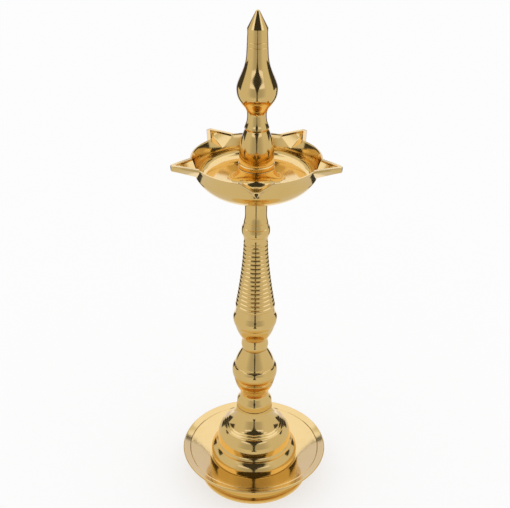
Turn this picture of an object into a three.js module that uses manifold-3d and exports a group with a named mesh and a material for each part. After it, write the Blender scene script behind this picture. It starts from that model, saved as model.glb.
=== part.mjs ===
// Kuthu vilakku: a standing brass oil lamp with a five-spouted dish, in millimetres, +Z up.
// The origin is the centre of the foot's ring, on the surface that the lamp stands on.
// It comes apart as the real one does: a cast foot and saucer, a hollow bell, a collar and a knob
// are drawn together by the knob's long stud and one nut. A neck ring, a ribbed column, the oil dish,
// a sealing washer and the finial are held above them by two screw threads.
import * as THREE from "three";
import { mergeVertices } from "three/addons/utils/BufferGeometryUtils.js";
import Module from "manifold-3d";

const wasm = await Module();
wasm.setup();

// Fits shared by all pieces
const SEAT_GAP = 0.3; // between faces that rest on each other
const BORE_GAP = 0.6; // round a stud in a plain hole
const HOLE_SPARE = 2; // that a blind hole is deeper than its stud

// Screw thread, right-handed, the same on every stud
const PITCH = 2.5;
const STUD_RADIUS = 6;
const THREAD_DEPTH = 0.9;
const THREAD_GAP = 0.35;
const THREAD_LENGTH = 12;
const RIDGE_FOOT = 1.4;
const RIDGE_CREST = 0.5;
const THREAD_STEPS = 12; // per turn

// Foot and saucer
const FOOT_RADIUS = 52.2;
const FOOT_BAND = 4;
const FOOT_RING_WIDTH = 4.5;
const FOOT_WAIST_RADIUS = 50.2;
const RIM_RADIUS = 68.9;
const RIM_HEIGHT = 30.2;
const RIM_THICKNESS = 2.2;
const SAUCER_FLOOR = 22.7; // top of the flat that the bell stands on
const SAUCER_WALL = 3.2;
const SAUCER_FLAT_RADIUS = 42.5;
const SAUCER_BELLY_RADIUS = 57.5;
const SAUCER_LINE_RADIUS = 62;
const LINE_DEPTH = 0.5; // of the fine turned lines
const LINE_HALF = 0.5;

// Bell, from its foot up
const BELL_HEIGHT = 56.4;
const BELL_FOOT_RADIUS = 41.6;
const BELL_FOOT_BAND = 3.6;
const BELL_STEP_RADIUS = 36.6;
const BELL_STEP_HEIGHT = 12;
const BELL_BEAD_SWELL = 1.2;
const BELL_SKIRT_RADIUS = 35.1;
const BELL_SKIRT_HEIGHT = 17.4;
const BELL_LINE_RADII = [28.9, 27, 25.2];
const BELL_LINE_HEIGHTS = [34.2, 35.6, 37];
const BELL_TOP_RADIUS = 16.8;
const BELL_THROAT_RADIUS = 21.2; // inside, level with the top line
const BELL_WALL = 3.2;
const BELL_CROWN = 7; // thickness of the closed top

// Collar
const COLLAR_HEIGHT = 17.4;
const COLLAR_RADIUS = 16.4;
const COLLAR_BAND = 5.2;
const COLLAR_NECK_RADIUS = 12.95;
const COLLAR_NECK_HEIGHT = 14.4;
const COLLAR_TOP_RADIUS = 13.6;

// Lower knob
const KNOB_HEIGHT = 47.4;
const KNOB_FOOT_RADIUS = 13.8;
const KNOB_CUP_RADIUS = 18.9; // at the line under the bulb
const KNOB_CUP_HEIGHT = 14.1;
const KNOB_RADIUS = 20.85;
const KNOB_WIDEST = 22.6; // height of the widest place
const KNOB_SHOULDER_RADIUS = 18.5;
const KNOB_SHOULDER_HEIGHT = 30;
const KNOB_TOP_RADIUS = 11.4;

// Neck ring
const RING_HEIGHT = 11.2;
const RING_RADIUS = 12.4;
const RING_WIDEST = 4.2;
const RING_LOW_RADIUS = 11.4;
const RING_TOP_RADIUS = 11.7;

// Ribbed column, from its foot up
const COLUMN_HEIGHT = 142.9;
const COLUMN_FOOT_RADIUS = 12;
const COLUMN_CUP_RADIUS = 18.3;
const COLUMN_CUP_HEIGHT = 14.6;
const COLUMN_BULB_RADIUS = 19.95;
const COLUMN_BULB_HEIGHT = 21.2;
const COLUMN_COVE_RADIUS = 18;
const COLUMN_COVE_HEIGHT = 27.6;
const RIB_COUNT = 17;
const RIB_PITCH = 3.97;
const RIB_START = 34;
const RIB_LAND = 2.6; // length of the raised part of a rib
const RIB_DEPTH = 0.7;
const RIB_FOOT_RADIUS = 17.8;
const RIB_TOP_RADIUS = 10.75;
const RIB_TAPER = 1.55; // power of the taper from rib to rib
const COLUMN_BEAD_RADIUS = 12.45;
const COLUMN_BEAD_LOW = 106.3;
const COLUMN_BEAD_HIGH = 113.4;
const COLUMN_BEAD_SEAT_RADIUS = 11.4;
const COLUMN_LINE_RADIUS = 10.4;
const COLUMN_LINE_HEIGHT = 118.9;
const COLUMN_NECK_RADIUS = 9.6;
const COLUMN_NECK_HEIGHT = 126;
const COLUMN_TOP_RADIUS = 10.4;

// Oil dish
const DISH_BOSS_HEIGHT = 26.4; // from its seat on the column to the finial
const DISH_BOSS_RADIUS = 15.6;
const DISH_BOSS_FLARE = 31;
const DISH_SEAT_RADIUS = 10.4;
const DISH_NECK_HEIGHT = 3.5; // of the short neck under the bowl
const DISH_NECK_FLARE = 16;
const DISH_UNDERSIDE = 7; // height of the flat under the bowl
const DISH_UNDERSIDE_RADIUS = 34.4;
const DISH_BOWL_RADIUS = 51.5;
const DISH_BOWL_WIDEST = 21.3; // height where the bowl's wall stands up
const DISH_RIM_RADIUS = 55.2;
const DISH_RIM_HEIGHT = 34.6;
const DISH_WALL = 1.8;
const DISH_FLOOR_RADIUS = 43;
const DISH_FLOOR_HEIGHT = 14.8;
const SPOUT_COUNT = 5;
const SPOUT_REACH = 73;
const SPOUT_ROOT = 44;
const SPOUT_HALF_WIDTH = 19.3; // at its root inside the bowl
const SPOUT_TIP_HALF = 1.8;
const SPOUT_RISE = 1.4;
const SPOUT_LIP = 2; // height of the upright band along its edge
const SPOUT_ROOT_DEPTH = 14;
const SPOUT_TIP_DEPTH = 5;
const SPOUT_WALL = 1.7;

// Washers and nut
const SEAL_THICKNESS = 1.2;
const SEAL_RADIUS = 12;
const SEAL_PLAY = 0.4; // round the seal in its recess
const NUT_ACROSS = 19;
const NUT_HEIGHT = 8;
const NUT_WASHER_RADIUS = 13;
const NUT_WASHER_THICKNESS = 2;
const STUD_PAST_NUT = 2.5;

// Finial, from its flange up
const FINIAL_HEIGHT = 130.5;
const FLANGE_RADIUS = 15.3;
const FLANGE_HEIGHT = 3.6;
const SKIRT_RADIUS = 14.7;
const LIP_RADIUS = 10.3;
const LIP_HEIGHT = 34.4;
const LIP_GROOVE = 1.6; // width of the groove under the lip
const FINIAL_NECK_RADIUS = 8.1;
const FINIAL_NECK_HEIGHT = 45.1;
const FINIAL_BULB_RADIUS = 16.85;
const FINIAL_BULB_HEIGHT = 67.1;
const FINIAL_STEM_RADIUS = 9;
const FINIAL_STEM_HEIGHT = 95;
const FINIAL_LINE_RADIUS = 8.6;
const FINIAL_LINES = [106, 102];
const FINIAL_WAIST_RADIUS = 8.2;
const FINIAL_WAIST_HEIGHT = 112.5;
const FINIAL_SHOULDER_RADIUS = 8.4;
const FINIAL_SHOULDER_HEIGHT = 116.3;
const FINIAL_TIP_RADIUS = 1.5;
const FINIAL_TIP_LENGTH = 0.8;

// Worked out from the sizes above
const BORE_RADIUS = STUD_RADIUS + BORE_GAP;
const ROOT_RADIUS = STUD_RADIUS - THREAD_DEPTH;
const HOLE_DEPTH = THREAD_LENGTH + HOLE_SPARE;
const BELL_Z = SAUCER_FLOOR + SEAT_GAP;
const COLLAR_Z = BELL_Z + BELL_HEIGHT + SEAT_GAP;
const KNOB_Z = COLLAR_Z + COLLAR_HEIGHT + SEAT_GAP;
const RING_Z = KNOB_Z + KNOB_HEIGHT + SEAT_GAP;
const COLUMN_Z = RING_Z + RING_HEIGHT + SEAT_GAP;
const DISH_Z = COLUMN_Z + COLUMN_HEIGHT + SEAT_GAP;
const FINIAL_Z = DISH_Z + DISH_BOSS_HEIGHT + SEAT_GAP;
const SEAL_Z = FINIAL_Z - SEAT_GAP - SEAL_THICKNESS;
const SAUCER_UNDER = SAUCER_FLOOR - SAUCER_WALL;
const WASHER_Z = SAUCER_UNDER - SEAT_GAP - NUT_WASHER_THICKNESS;
const NUT_Z = WASHER_Z - SEAT_GAP - NUT_HEIGHT;

const WIDE_STEPS = 36;
const SLIM_STEPS = 24;
const CURVE_STEPS = 5;
const SINK = 1; // that one shape reaches into or past another when they are joined or cut
const SPILL = 0.01; // that a trough's cut stands above the rim

function solidOf(geometry) {
  const bare = geometry.clone();
  bare.deleteAttribute("normal");
  bare.deleteAttribute("uv");
  const merged = mergeVertices(bare, 1e-4);
  return new wasm.Manifold(
    new wasm.Mesh({
      numProp: 3,
      vertProperties: merged.attributes.position.array,
      triVerts: new Uint32Array(merged.index.array),
    }),
  );
}

// A solid of revolution about Z. The path runs through radius and height, up its outside,
// and starts and ends on the axis or closes on itself.
function turned(path, steps) {
  const points = path.getPoints(CURVE_STEPS);
  const clean = points.filter((p, i) => i === 0 || p.distanceTo(points[i - 1]) > 1e-3);
  if (clean[0].distanceTo(clean[clean.length - 1]) > 1e-3) clean.push(clean[0].clone());
  return solidOf(new THREE.LatheGeometry(clean, steps).rotateX(Math.PI / 2));
}

function cylinder(radius, low, high, steps) {
  const path = new THREE.Path().moveTo(0, low).lineTo(radius, low).lineTo(radius, high).lineTo(0, high);
  return turned(path, steps);
}

// A cubic run to (radius, height). Each handle is two shares, of the run's width and of its height.
function run(path, radius, height, near, far) {
  const { x, y } = path.currentPoint;
  const wide = radius - x;
  const tall = height - y;
  return path.bezierCurveTo(
    x + near[0] * wide, y + near[1] * tall,
    x + far[0] * wide, y + far[1] * tall,
    radius, height,
  );
}

// A fine line turned into an outline that climbs past (radius, height) with the given slope
function line(path, radius, height, slope = 0) {
  return path
    .lineTo(radius - slope * LINE_HALF, height - LINE_HALF)
    .lineTo(radius - LINE_DEPTH, height)
    .lineTo(radius + slope * LINE_HALF, height + LINE_HALF);
}

// The helical ridge of a thread as a closed solid. Growth widens it, to cut the nut's side.
function ridge(low, turns, growth) {
  const steps = Math.round(turns * THREAD_STEPS);
  const inner = ROOT_RADIUS - THREAD_GAP;
  const crest = STUD_RADIUS + growth;
  const foot = RIDGE_FOOT / 2 + growth;
  const top = RIDGE_CREST / 2 + growth / 2;
  const section = [[inner, -foot], [crest, -top], [crest, top], [inner, foot]];
  const position = [];
  const index = [];
  for (let i = 0; i <= steps; i++) {
    const angle = (2 * Math.PI * i) / THREAD_STEPS;
    const height = low + (PITCH * i) / THREAD_STEPS;
    for (const [radius, rise] of section) {
      position.push(radius * Math.cos(angle), radius * Math.sin(angle), height + rise);
    }
  }
  for (let i = 0; i < steps; i++) {
    for (let k = 0; k < 4; k++) {
      const a = 4 * i + k;
      const b = 4 * i + ((k + 1) % 4);
      index.push(a, a + 4, b, b, a + 4, b + 4);
    }
  }
  const end = 4 * steps;
  index.push(0, 1, 2, 0, 2, 3, end, end + 2, end + 1, end, end + 3, end + 2);
  const geometry = new THREE.BufferGeometry();
  geometry.setAttribute("position", new THREE.Float32BufferAttribute(position, 3));
  geometry.setIndex(index);
  return solidOf(geometry);
}

// First height at or above low at which the ridge passes the +X side. All threads of one joint
// are cut with the same phase, so that stud and hole mesh when the pieces are tight.
function ridgeStart(low, phase) {
  return phase + PITCH * Math.ceil((low - phase) / PITCH);
}

function threadedStud(low, phase) {
  const start = ridgeStart(low + RIDGE_FOOT / 2, phase);
  const turns = (low + THREAD_LENGTH - RIDGE_FOOT / 2 - start) / PITCH;
  return cylinder(ROOT_RADIUS, low, low + THREAD_LENGTH, THREAD_STEPS).add(ridge(start, turns, 0));
}

// What a threaded hole takes out of a piece between low and high
function threadedHole(low, high, phase) {
  const start = ridgeStart(low, phase) - 2 * PITCH;
  const turns = Math.ceil((high - start) / PITCH) + 1;
  const slot = ridge(start, turns, THREAD_GAP).intersect(
    cylinder(2 * STUD_RADIUS, low, high, THREAD_STEPS),
  );
  return cylinder(ROOT_RADIUS + THREAD_GAP, low, high, THREAD_STEPS).add(slot);
}

function footSaucer() {
  const inner = FOOT_RADIUS - FOOT_RING_WIDTH;
  const trayHeight = RIM_HEIGHT - RIM_THICKNESS;
  const path = new THREE.Path()
    .moveTo(inner, 0)
    .lineTo(FOOT_RADIUS, 0)
    .lineTo(FOOT_RADIUS, FOOT_BAND)
    .lineTo(FOOT_WAIST_RADIUS, FOOT_BAND + LINE_HALF);
  run(path, SAUCER_BELLY_RADIUS, SAUCER_UNDER, [0.1, 0.75], [0.3, 0.95]);
  run(path, RIM_RADIUS, RIM_HEIGHT - RIM_THICKNESS / 2, [0.45, 0.1], [0.85, 0.55]);
  path
    .lineTo(RIM_RADIUS - RIM_THICKNESS / 4, RIM_HEIGHT)
    .lineTo(RIM_RADIUS - RIM_THICKNESS, RIM_HEIGHT)
    .lineTo(SAUCER_LINE_RADIUS + LINE_HALF, trayHeight)
    .lineTo(SAUCER_LINE_RADIUS, trayHeight - LINE_DEPTH)
    .lineTo(SAUCER_LINE_RADIUS - LINE_HALF, trayHeight - LINE_DEPTH / 3);
  run(path, SAUCER_FLAT_RADIUS, SAUCER_FLOOR, [0.35, 0.45], [0.65, 0.85]);
  path
    .lineTo(BORE_RADIUS, SAUCER_FLOOR)
    .lineTo(BORE_RADIUS, SAUCER_UNDER)
    .lineTo(inner - SAUCER_WALL, SAUCER_UNDER)
    .quadraticCurveTo(inner, SAUCER_UNDER, inner, SAUCER_UNDER - SAUCER_WALL)
    .lineTo(inner, 0);
  return turned(path, WIDE_STEPS);
}

function pedestalBell() {
  const crown = BELL_HEIGHT - BELL_CROWN;
  const footInner = BELL_FOOT_RADIUS - BELL_WALL;
  const skirtInner = BELL_SKIRT_RADIUS - BELL_WALL;
  const path = new THREE.Path()
    .moveTo(footInner, 0)
    .lineTo(BELL_FOOT_RADIUS, 0)
    .lineTo(BELL_FOOT_RADIUS, BELL_FOOT_BAND);
  run(path, BELL_STEP_RADIUS, BELL_STEP_HEIGHT, [0, 0.35], [0.25, 0.6]);
  path
    .lineTo(BELL_STEP_RADIUS - LINE_DEPTH, BELL_STEP_HEIGHT + LINE_HALF)
    .quadraticCurveTo(
      BELL_STEP_RADIUS + BELL_BEAD_SWELL, (BELL_STEP_HEIGHT + BELL_SKIRT_HEIGHT) / 2,
      BELL_SKIRT_RADIUS, BELL_SKIRT_HEIGHT,
    );
  run(path, BELL_LINE_RADII[0], BELL_LINE_HEIGHTS[0] - LINE_HALF, [0.02, 0.58], [0.44, 0.8]);
  BELL_LINE_HEIGHTS.forEach((height, i) => line(path, BELL_LINE_RADII[i], height, -1));
  run(path, BELL_TOP_RADIUS, BELL_HEIGHT, [0.55, 0.2], [1, 0.5]);
  path
    .lineTo(BORE_RADIUS, BELL_HEIGHT)
    .lineTo(BORE_RADIUS, crown)
    .lineTo(BELL_TOP_RADIUS - BELL_WALL, crown)
    .lineTo(BELL_THROAT_RADIUS, BELL_LINE_HEIGHTS[2]);
  run(path, skirtInner, BELL_SKIRT_HEIGHT, [0.5, 0.2], [1, 0.4]);
  path
    .lineTo(skirtInner, BELL_STEP_HEIGHT - BELL_WALL / 2)
    .lineTo(footInner, BELL_FOOT_BAND)
    .lineTo(footInner, 0);
  return turned(path, WIDE_STEPS);
}

function collarRing() {
  const path = new THREE.Path()
    .moveTo(BORE_RADIUS, 0)
    .lineTo(COLLAR_RADIUS, 0)
    .lineTo(COLLAR_RADIUS, COLLAR_BAND);
  run(path, COLLAR_NECK_RADIUS, COLLAR_NECK_HEIGHT, [0, 0.37], [1, 0.5]);
  path
    .lineTo(COLLAR_TOP_RADIUS, COLLAR_HEIGHT)
    .lineTo(BORE_RADIUS, COLLAR_HEIGHT)
    .lineTo(BORE_RADIUS, 0);
  return turned(path, SLIM_STEPS);
}

function lowerKnob() {
  const path = new THREE.Path().moveTo(0, 0).lineTo(KNOB_FOOT_RADIUS, 0);
  run(path, KNOB_CUP_RADIUS, KNOB_CUP_HEIGHT - LINE_HALF, [0.31, 0.33], [0.75, 0.44]);
  line(path, KNOB_CUP_RADIUS, KNOB_CUP_HEIGHT);
  run(path, KNOB_RADIUS, KNOB_WIDEST, [0.55, 0.3], [1, 0.55]);
  run(path, KNOB_SHOULDER_RADIUS, KNOB_SHOULDER_HEIGHT - LINE_HALF, [0, 0.88], [0.95, 0.9]);
  line(path, KNOB_SHOULDER_RADIUS, KNOB_SHOULDER_HEIGHT, -0.5);
  run(path, KNOB_TOP_RADIUS, KNOB_HEIGHT, [0.16, 0.41], [0.84, 0.77]);
  path.lineTo(0, KNOB_HEIGHT);
  const studEnd = NUT_Z - STUD_PAST_NUT - KNOB_Z;
  const threadTop = studEnd + THREAD_LENGTH;
  return turned(path, SLIM_STEPS)
    .add(cylinder(STUD_RADIUS, threadTop, SINK, THREAD_STEPS))
    .add(threadedStud(studEnd, NUT_Z - KNOB_Z))
    .subtract(threadedHole(KNOB_HEIGHT - HOLE_DEPTH, KNOB_HEIGHT + SINK, KNOB_HEIGHT));
}

function beadRing() {
  const path = new THREE.Path().moveTo(BORE_RADIUS, 0).lineTo(RING_LOW_RADIUS, 0);
  run(path, RING_RADIUS, RING_WIDEST, [0.5, 0.25], [1, 0.55]);
  run(path, RING_TOP_RADIUS, RING_HEIGHT, [0, 0.25], [1, 0.5]);
  path.lineTo(BORE_RADIUS, RING_HEIGHT).lineTo(BORE_RADIUS, 0);
  return turned(path, SLIM_STEPS);
}

function ribbedColumn() {
  const path = new THREE.Path().moveTo(0, 0).lineTo(COLUMN_FOOT_RADIUS, 0);
  run(path, COLUMN_CUP_RADIUS, COLUMN_CUP_HEIGHT, [0.32, 0.18], [0.86, 0.62]);
  path.lineTo(COLUMN_CUP_RADIUS + LINE_DEPTH, COLUMN_CUP_HEIGHT + LINE_HALF);
  run(path, COLUMN_BULB_RADIUS, COLUMN_BULB_HEIGHT, [0.48, 0.27], [1, 0.55]);
  run(path, COLUMN_COVE_RADIUS, COLUMN_COVE_HEIGHT, [0, 0.5], [0.85, 0.62]);
  for (let i = 0; i < RIB_COUNT; i++) {
    const taper = (1 - i / (RIB_COUNT - 1)) ** RIB_TAPER;
    const radius = THREE.MathUtils.lerp(RIB_TOP_RADIUS, RIB_FOOT_RADIUS, taper);
    const low = RIB_START + i * RIB_PITCH;
    path.lineTo(radius - RIB_DEPTH, low - (RIB_PITCH - RIB_LAND) / 2);
    path.lineTo(radius, low);
    path.lineTo(radius - RIB_DEPTH / 4, low + RIB_LAND);
  }
  run(path, COLUMN_BEAD_SEAT_RADIUS, COLUMN_BEAD_LOW - LINE_HALF, [0, 0.5], [0.6, 0.7]);
  path
    .lineTo(COLUMN_BEAD_RADIUS - LINE_DEPTH, COLUMN_BEAD_LOW + LINE_HALF)
    .quadraticCurveTo(
      COLUMN_BEAD_RADIUS + LINE_DEPTH, (COLUMN_BEAD_LOW + COLUMN_BEAD_HIGH) / 2,
      COLUMN_BEAD_RADIUS - LINE_DEPTH, COLUMN_BEAD_HIGH,
    )
    .lineTo(COLUMN_BEAD_SEAT_RADIUS, COLUMN_BEAD_HIGH + LINE_HALF);
  line(path, COLUMN_LINE_RADIUS, COLUMN_LINE_HEIGHT);
  run(path, COLUMN_NECK_RADIUS, COLUMN_NECK_HEIGHT, [0.6, 0.3], [1, 0.5]);
  run(path, COLUMN_TOP_RADIUS, COLUMN_HEIGHT, [0, 0.4], [0.6, 0.7]);
  path.lineTo(0, COLUMN_HEIGHT);
  const lowEnd = -(RING_HEIGHT + 2 * SEAT_GAP + THREAD_LENGTH);
  const highStart = FINIAL_Z - COLUMN_Z;
  const meshBelow = KNOB_Z + KNOB_HEIGHT - COLUMN_Z;
  return turned(path, SLIM_STEPS)
    .add(threadedStud(lowEnd, meshBelow))
    .add(cylinder(STUD_RADIUS, lowEnd + THREAD_LENGTH, SINK, THREAD_STEPS))
    .add(cylinder(STUD_RADIUS, COLUMN_HEIGHT - SINK, highStart, THREAD_STEPS))
    .add(threadedStud(highStart, highStart));
}

// One spout: a V-shaped trough with an upright lip, which narrows from the bowl to its tip along +X
function spoutWedge(inset, root, reach, headroom) {
  const rootTop = DISH_RIM_HEIGHT + headroom;
  const tipTop = DISH_RIM_HEIGHT + SPOUT_RISE + headroom;
  const rootLip = DISH_RIM_HEIGHT - SPOUT_LIP;
  const tipLip = DISH_RIM_HEIGHT + SPOUT_RISE - SPOUT_LIP;
  const rootHalf = SPOUT_HALF_WIDTH - inset;
  const tipHalf = SPOUT_TIP_HALF - inset / 2;
  const position = [
    root, -rootHalf, rootTop,
    root, -rootHalf, rootLip,
    root, 0, DISH_RIM_HEIGHT - SPOUT_ROOT_DEPTH + inset,
    root, rootHalf, rootLip,
    root, rootHalf, rootTop,
    reach, -tipHalf, tipTop,
    reach, -tipHalf, tipLip,
    reach, 0, DISH_RIM_HEIGHT + SPOUT_RISE - SPOUT_TIP_DEPTH + inset,
    reach, tipHalf, tipLip,
    reach, tipHalf, tipTop,
  ];
  const ends = [0, 4, 1, 1, 4, 3, 1, 3, 2, 5, 6, 9, 6, 8, 9, 6, 7, 8];
  const sides = [];
  for (let i = 0; i < 5; i++) {
    const next = (i + 1) % 5;
    sides.push(i, next, next + 5, i, next + 5, i + 5);
  }
  const geometry = new THREE.BufferGeometry();
  geometry.setAttribute("position", new THREE.Float32BufferAttribute(position, 3));
  geometry.setIndex([...ends, ...sides]);
  return solidOf(geometry);
}

function oilDish() {
  const outside = new THREE.Path()
    .moveTo(0, 0)
    .lineTo(DISH_SEAT_RADIUS, 0)
    .lineTo(DISH_SEAT_RADIUS, DISH_NECK_HEIGHT)
    .quadraticCurveTo(DISH_SEAT_RADIUS, DISH_UNDERSIDE, DISH_NECK_FLARE, DISH_UNDERSIDE)
    .lineTo(DISH_UNDERSIDE_RADIUS, DISH_UNDERSIDE);
  run(outside, DISH_BOWL_RADIUS, DISH_BOWL_WIDEST, [0.51, 0], [1, 0.85]);
  run(outside, DISH_RIM_RADIUS, DISH_RIM_HEIGHT, [0.1, 0.35], [0.5, 0.75]);
  outside.lineTo(0, DISH_RIM_HEIGHT);
  const inside = new THREE.Path().moveTo(0, DISH_BOSS_HEIGHT).lineTo(DISH_BOSS_RADIUS, DISH_BOSS_HEIGHT);
  run(inside, DISH_BOSS_FLARE, DISH_FLOOR_HEIGHT - LINE_DEPTH, [0.12, 0.7], [0.45, 0.95]);
  inside.lineTo(DISH_FLOOR_RADIUS, DISH_FLOOR_HEIGHT);
  run(inside, DISH_BOWL_RADIUS - DISH_WALL, DISH_BOWL_WIDEST + DISH_WALL, [0.6, 0.1], [1, 0.5]);
  inside
    .lineTo(DISH_RIM_RADIUS - DISH_WALL, DISH_RIM_HEIGHT)
    .lineTo(DISH_RIM_RADIUS - DISH_WALL, DISH_RIM_HEIGHT + SINK)
    .lineTo(0, DISH_RIM_HEIGHT + SINK);
  let body = turned(outside, WIDE_STEPS);
  let space = turned(inside, WIDE_STEPS);
  for (let i = 0; i < SPOUT_COUNT; i++) {
    const angle = (360 * i) / SPOUT_COUNT - 90;
    body = body.add(spoutWedge(0, SPOUT_ROOT, SPOUT_REACH, 0).rotate([0, 0, angle]));
    const trough = spoutWedge(SPOUT_WALL, SPOUT_ROOT - SPOUT_WALL, SPOUT_REACH - SPOUT_WALL, SPILL);
    space = space.add(trough.rotate([0, 0, angle]));
  }
  const recess = FINIAL_Z - DISH_Z - 2 * SEAT_GAP - SEAL_THICKNESS;
  return body
    .subtract(space)
    .subtract(cylinder(BORE_RADIUS, -SINK, DISH_BOSS_HEIGHT + SINK, SLIM_STEPS))
    .subtract(cylinder(SEAL_RADIUS + SEAL_PLAY, recess, DISH_BOSS_HEIGHT + SINK, SLIM_STEPS));
}

function washer(radius, thickness) {
  const path = new THREE.Path()
    .moveTo(BORE_RADIUS, 0)
    .lineTo(radius, 0)
    .lineTo(radius, thickness)
    .lineTo(BORE_RADIUS, thickness)
    .lineTo(BORE_RADIUS, 0);
  return turned(path, SLIM_STEPS);
}

function baseNut() {
  const prism = new THREE.CylinderGeometry(1, 1, NUT_HEIGHT, 6);
  const across = NUT_ACROSS / Math.sqrt(3);
  prism.scale(across, 1, across);
  prism.rotateX(Math.PI / 2);
  prism.translate(0, 0, NUT_HEIGHT / 2);
  return solidOf(prism).subtract(threadedHole(-SINK, NUT_HEIGHT + SINK, 0));
}

function finial() {
  const path = new THREE.Path()
    .moveTo(0, 0)
    .lineTo(FLANGE_RADIUS, 0)
    .lineTo(FLANGE_RADIUS, FLANGE_HEIGHT - LINE_HALF)
    .lineTo(SKIRT_RADIUS - LINE_DEPTH, FLANGE_HEIGHT)
    .lineTo(SKIRT_RADIUS, FLANGE_HEIGHT + LINE_HALF);
  run(path, LIP_RADIUS - LINE_DEPTH, LIP_HEIGHT - LIP_GROOVE, [-0.04, 0.35], [0.23, 0.74]);
  path.lineTo(LIP_RADIUS, LIP_HEIGHT);
  run(path, FINIAL_NECK_RADIUS, FINIAL_NECK_HEIGHT, [0.32, 0.29], [1, 0.37]);
  run(path, FINIAL_BULB_RADIUS, FINIAL_BULB_HEIGHT, [0, 0.4], [1, 0.445]);
  run(path, FINIAL_STEM_RADIUS, FINIAL_STEM_HEIGHT, [0, 0.26], [0.92, 0.54]);
  for (const height of FINIAL_LINES.toReversed()) line(path, FINIAL_LINE_RADIUS, height);
  path
    .lineTo(FINIAL_WAIST_RADIUS, FINIAL_WAIST_HEIGHT)
    .lineTo(FINIAL_SHOULDER_RADIUS, FINIAL_SHOULDER_HEIGHT)
    .lineTo(FINIAL_TIP_RADIUS, FINIAL_HEIGHT - FINIAL_TIP_LENGTH)
    .lineTo(0, FINIAL_HEIGHT);
  return turned(path, SLIM_STEPS).subtract(threadedHole(-SINK, HOLE_DEPTH, 0));
}

const brass = new THREE.MeshStandardMaterial({ color: 0xd9a441, metalness: 1, roughness: 0.15 });
const castBrass = new THREE.MeshStandardMaterial({ color: 0xb98a3a, metalness: 1, roughness: 0.45 });
const cork = new THREE.MeshStandardMaterial({ color: 0x6b4a2b, metalness: 0, roughness: 0.9 });

const lamp = new THREE.Group();

function place(name, solid, material, height) {
  const mesh = solid.getMesh();
  const geometry = new THREE.BufferGeometry();
  geometry.setAttribute("position", new THREE.BufferAttribute(mesh.vertProperties, 3));
  geometry.setIndex(new THREE.BufferAttribute(mesh.triVerts, 1));
  const placed = new THREE.Mesh(geometry, material);
  placed.name = name;
  placed.position.z = height;
  lamp.add(placed);
}

place("foot_saucer", footSaucer(), brass, 0);
place("base_nut", baseNut(), castBrass, NUT_Z);
place("base_washer", washer(NUT_WASHER_RADIUS, NUT_WASHER_THICKNESS), castBrass, WASHER_Z);
place("pedestal_bell", pedestalBell(), brass, BELL_Z);
place("collar_ring", collarRing(), brass, COLLAR_Z);
place("lower_knob", lowerKnob(), brass, KNOB_Z);
place("bead_ring", beadRing(), brass, RING_Z);
place("ribbed_column", ribbedColumn(), brass, COLUMN_Z);
place("oil_dish", oilDish(), brass, DISH_Z);
place("dish_washer", washer(SEAL_RADIUS, SEAL_THICKNESS), cork, SEAL_Z);
place("finial", finial(), brass, FINIAL_Z);

export default lamp;
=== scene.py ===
"""Kuthu vilakku, a standing brass oil lamp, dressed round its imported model.

Lengths in the outlines are millimetres, and the mesh maker turns them into metres.
"""

import math

import bmesh
import bpy
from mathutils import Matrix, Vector


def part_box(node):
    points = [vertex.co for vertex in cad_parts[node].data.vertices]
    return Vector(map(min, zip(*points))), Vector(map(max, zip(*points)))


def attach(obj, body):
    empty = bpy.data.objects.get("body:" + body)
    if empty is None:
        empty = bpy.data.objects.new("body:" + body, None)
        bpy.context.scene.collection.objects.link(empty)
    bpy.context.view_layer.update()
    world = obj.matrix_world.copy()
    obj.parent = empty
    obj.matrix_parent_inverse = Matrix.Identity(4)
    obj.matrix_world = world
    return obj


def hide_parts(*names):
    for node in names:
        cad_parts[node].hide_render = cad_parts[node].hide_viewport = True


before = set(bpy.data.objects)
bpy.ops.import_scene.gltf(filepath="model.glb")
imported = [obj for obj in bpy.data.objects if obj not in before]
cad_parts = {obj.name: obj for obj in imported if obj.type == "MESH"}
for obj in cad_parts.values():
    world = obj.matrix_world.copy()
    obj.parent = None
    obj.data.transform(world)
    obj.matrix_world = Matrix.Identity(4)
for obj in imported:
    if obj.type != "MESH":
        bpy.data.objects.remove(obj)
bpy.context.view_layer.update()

bl_info = {
    "name": "Kuthu Vilakku",
    "version": (1, 0, 0),
    "blender": (4, 5, 0),
    "location": "View3D > Sidebar > Lamp",
    "description": "Builds a turned brass oil lamp with a spouted dish and a studio for it",
    "category": "Add Mesh",
}

MM = 0.001

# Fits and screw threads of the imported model, in millimetres
SEAT_GAP = 0.3
BORE_RADIUS = 6.6
STUD_RADIUS = 6.0
THREAD_ROOT = 5.1
THREAD_PLAY = 0.35
THREAD_PITCH = 2.5
THREAD_LENGTH = 12.0
HOLE_DEPTH = 14.0

# Fine turned lines, and the cast walls of the saucer and the bell, in millimetres
LINE_DEPTH = 0.4
LINE_HALF = 0.32
CAST_WALL = 3.2

SPOUTS = 5

# The tent that the metal shows, half the floor's width, and where the camera stands in X, in metres
TENT_RADIUS = 0.86
TENT_HEIGHT = 1.35
FLOOR_HALF = 3.0
CAMERA_SIDE = -0.0006

# How white the floor is, and the share of it that glows for the camera and the metal
FLOOR_WHITE = 0.95
FLOOR_GLOW = 0.6


def low_end(node):
    """Height in millimetres of the node's lowest point."""
    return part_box(node)[0][2] / MM


def high_end(node):
    """Height in millimetres of the node's highest point."""
    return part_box(node)[1][2] / MM


def widest(node):
    """Largest radius of a round node, in millimetres."""
    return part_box(node)[1][0] / MM


def tall(node):
    return high_end(node) - low_end(node)


def mix(a, b, t):
    return a + (b - a) * t


def around(radius, angle, height):
    """The place on a circle round the lamp's axis."""
    return radius * math.cos(angle), radius * math.sin(angle), height


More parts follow.
